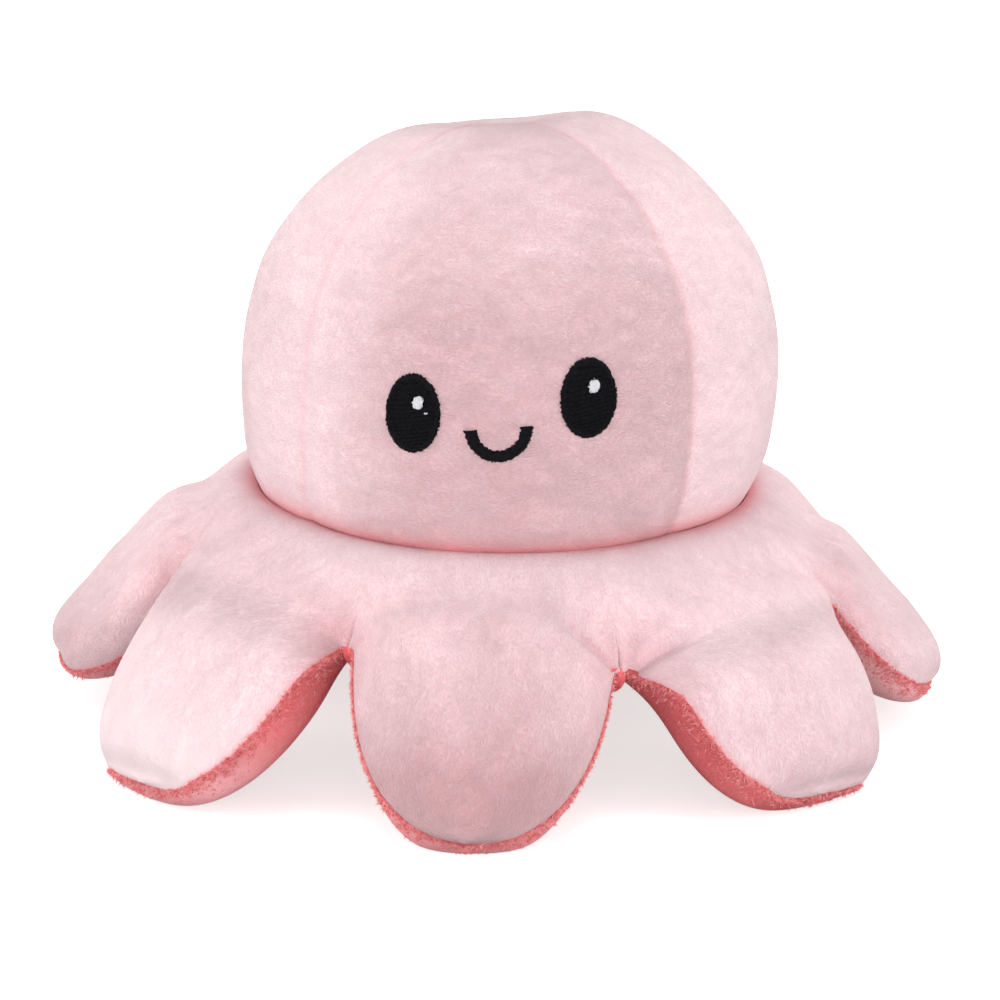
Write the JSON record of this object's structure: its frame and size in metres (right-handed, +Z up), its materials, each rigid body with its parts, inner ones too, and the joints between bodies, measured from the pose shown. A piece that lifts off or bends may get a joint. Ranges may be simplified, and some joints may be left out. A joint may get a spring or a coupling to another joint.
{
  "type": "plush octopus",
  "caption": "Reversible plush octopus with a round head, an embroidered smiling face and a skirt of stuffed tentacles that flex at the hinge lines.",
  "frame": {"origin": "centre of the bounding box, on the surface that the tentacles stand on", "axes": "+Z up through the head, the face looks along -Y, +X is to the right of someone who looks at the face"},
  "size_m": [0.2232, 0.2206, 0.1466],
  "materials": {
    "pink_plush": "matte",
    "coral_plush": "matte",
    "fibrefill": "matte",
    "black_thread": "satin",
    "pale_thread": "satin"
  },
  "bodies": {
    "body": {"head_panel_right": "pink_plush", "lining_panel_right": "coral_plush", "head_panel_back": "pink_plush", "lining_panel_back": "coral_plush", "head_panel_left": "pink_plush", "lining_panel_left": "coral_plush", "head_panel_front": "pink_plush", "lining_panel_front": "coral_plush", "head_filling": "fibrefill", "eye_left": "black_thread", "eye_glint_left": "pale_thread", "eye_right": "black_thread", "eye_glint_right": "pale_thread", "mouth": "black_thread", "reverse_eye_left": "black_thread", "reverse_eye_right": "black_thread", "reverse_mouth": "black_thread", "collar_top": "pink_plush", "collar_underside": "coral_plush", "collar_filling": "fibrefill"},
    "tentacle_1": {"tentacle_top_1": "pink_plush", "tentacle_underside_1": "coral_plush", "tentacle_filling_1": "fibrefill"},
    "tentacle_2": {"tentacle_top_2": "pink_plush", "tentacle_underside_2": "coral_plush", "tentacle_filling_2": "fibrefill"},
    "tentacle_3": {"tentacle_top_3": "pink_plush", "tentacle_underside_3": "coral_plush", "tentacle_filling_3": "fibrefill"},
    "tentacle_4": {"tentacle_top_4": "pink_plush", "tentacle_underside_4": "coral_plush", "tentacle_filling_4": "fibrefill"},
    "tentacle_5": {"tentacle_top_5": "pink_plush", "tentacle_underside_5": "coral_plush", "tentacle_filling_5": "fibrefill"},
    "tentacle_6": {"tentacle_top_6": "pink_plush", "tentacle_underside_6": "coral_plush", "tentacle_filling_6": "fibrefill"},
    "tentacle_7": {"tentacle_top_7": "pink_plush", "tentacle_underside_7": "coral_plush", "tentacle_filling_7": "fibrefill"},
    "tentacle_8": {"tentacle_top_8": "pink_plush", "tentacle_underside_8": "coral_plush", "tentacle_filling_8": "fibrefill"}
  },
  "joints": [
    {"name": "tentacle_hinge_1", "type": "hinge", "parent": "body", "child": "tentacle_1", "pos_m": [0.0055, -0.07906, 0.03644], "axis": [-0.9968, -0.0226, 0.0761], "range_deg": [-20, 60], "stiffness_Nm_per_rad": 0.15, "springref_deg": -0.74},
    {"name": "tentacle_hinge_2", "type": "hinge", "parent": "body", "child": "tentacle_2", "pos_m": [0.06103, -0.05381, 0.03497], "axis": [-0.6995, -0.7141, -0.0269], "range_deg": [-20, 60], "stiffness_Nm_per_rad": 0.15, "springref_deg": -0.74},
    {"name": "tentacle_hinge_3", "type": "hinge", "parent": "body", "child": "tentacle_3", "pos_m": [0.08353, 0.00205, 0.03644], "axis": [0.0491, -0.9986, -0.0177], "range_deg": [-20, 60], "stiffness_Nm_per_rad": 0.15, "springref_deg": -0.74},
    {"name": "tentacle_hinge_4", "type": "hinge", "parent": "body", "child": "tentacle_4", "pos_m": [0.05872, 0.05663, 0.03737], "axis": [0.7071, -0.7071, -0.0112], "range_deg": [-20, 60], "stiffness_Nm_per_rad": 0.15, "springref_deg": -0.74},
    {"name": "tentacle_hinge_5", "type": "hinge", "parent": "body", "child": "tentacle_5", "pos_m": [0.00254, 0.0799, 0.03774], "axis": [1, 0, 0], "range_deg": [-20, 60], "stiffness_Nm_per_rad": 0.15, "springref_deg": -0.74},
    {"name": "tentacle_hinge_6", "type": "hinge", "parent": "body", "child": "tentacle_6", "pos_m": [-0.05285, 0.0563, 0.03793], "axis": [0.6897, 0.7241, -0.0057], "range_deg": [-20, 60], "stiffness_Nm_per_rad": 0.15, "springref_deg": -0.74},
    {"name": "tentacle_hinge_7", "type": "hinge", "parent": "body", "child": "tentacle_7", "pos_m": [-0.07394, 0.00102, 0.03903], "axis": [-0.0438, 0.9986, -0.0292], "range_deg": [-20, 60], "stiffness_Nm_per_rad": 0.15, "springref_deg": -0.74},
    {"name": "tentacle_hinge_8", "type": "hinge", "parent": "body", "child": "tentacle_8", "pos_m": [-0.04927, -0.05521, 0.03941], "axis": [-0.6878, 0.7257, 0.0164], "range_deg": [-20, 60], "stiffness_Nm_per_rad": 0.15, "springref_deg": -0.74}
  ]
}
